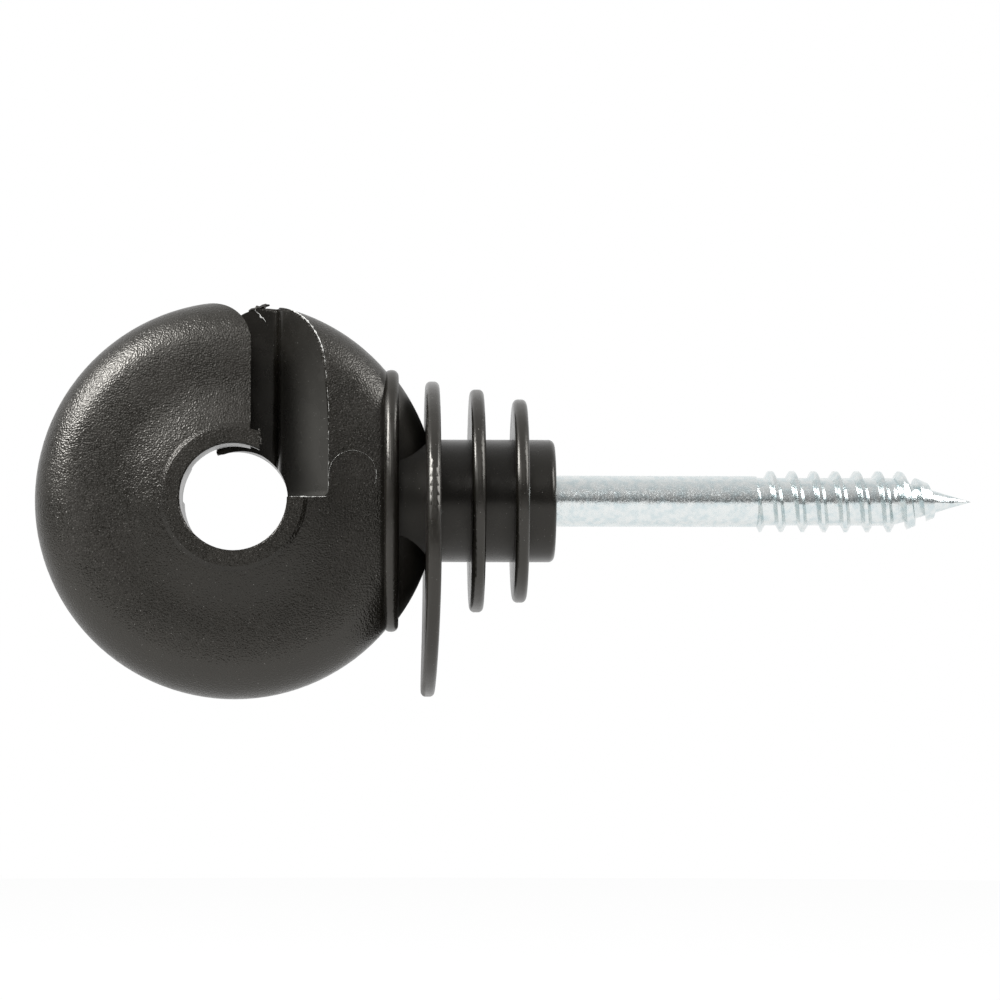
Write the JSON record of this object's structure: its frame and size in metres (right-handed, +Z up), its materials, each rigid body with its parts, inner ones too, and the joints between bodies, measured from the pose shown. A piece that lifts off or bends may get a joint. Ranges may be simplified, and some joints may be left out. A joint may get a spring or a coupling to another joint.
{
  "type": "screw-in ring insulator",
  "caption": "Black plastic fence insulator: a round head with a wire bore and an overlapping-lip slot, a shedded neck, and a steel wood screw moulded into it.",
  "frame": {"origin": "centre of the wire bore, in the middle of the head's thickness", "axes": "+X along the screw towards its point, +Y along the bore from the front face to the rear face, +Z up, the way the slot opens"},
  "size_m": [0.1101, 0.037, 0.0463],
  "materials": {
    "black_plastic": "fine leather-grained black moulded plastic, satin on the neck, sheds and rims",
    "zinc_plated_steel": "bright zinc plating with a faint blue tint"
  },
  "bodies": {
    "root": {"insulator_body": "black_plastic", "screw": "zinc_plated_steel"}
  },
  "joints": []
}
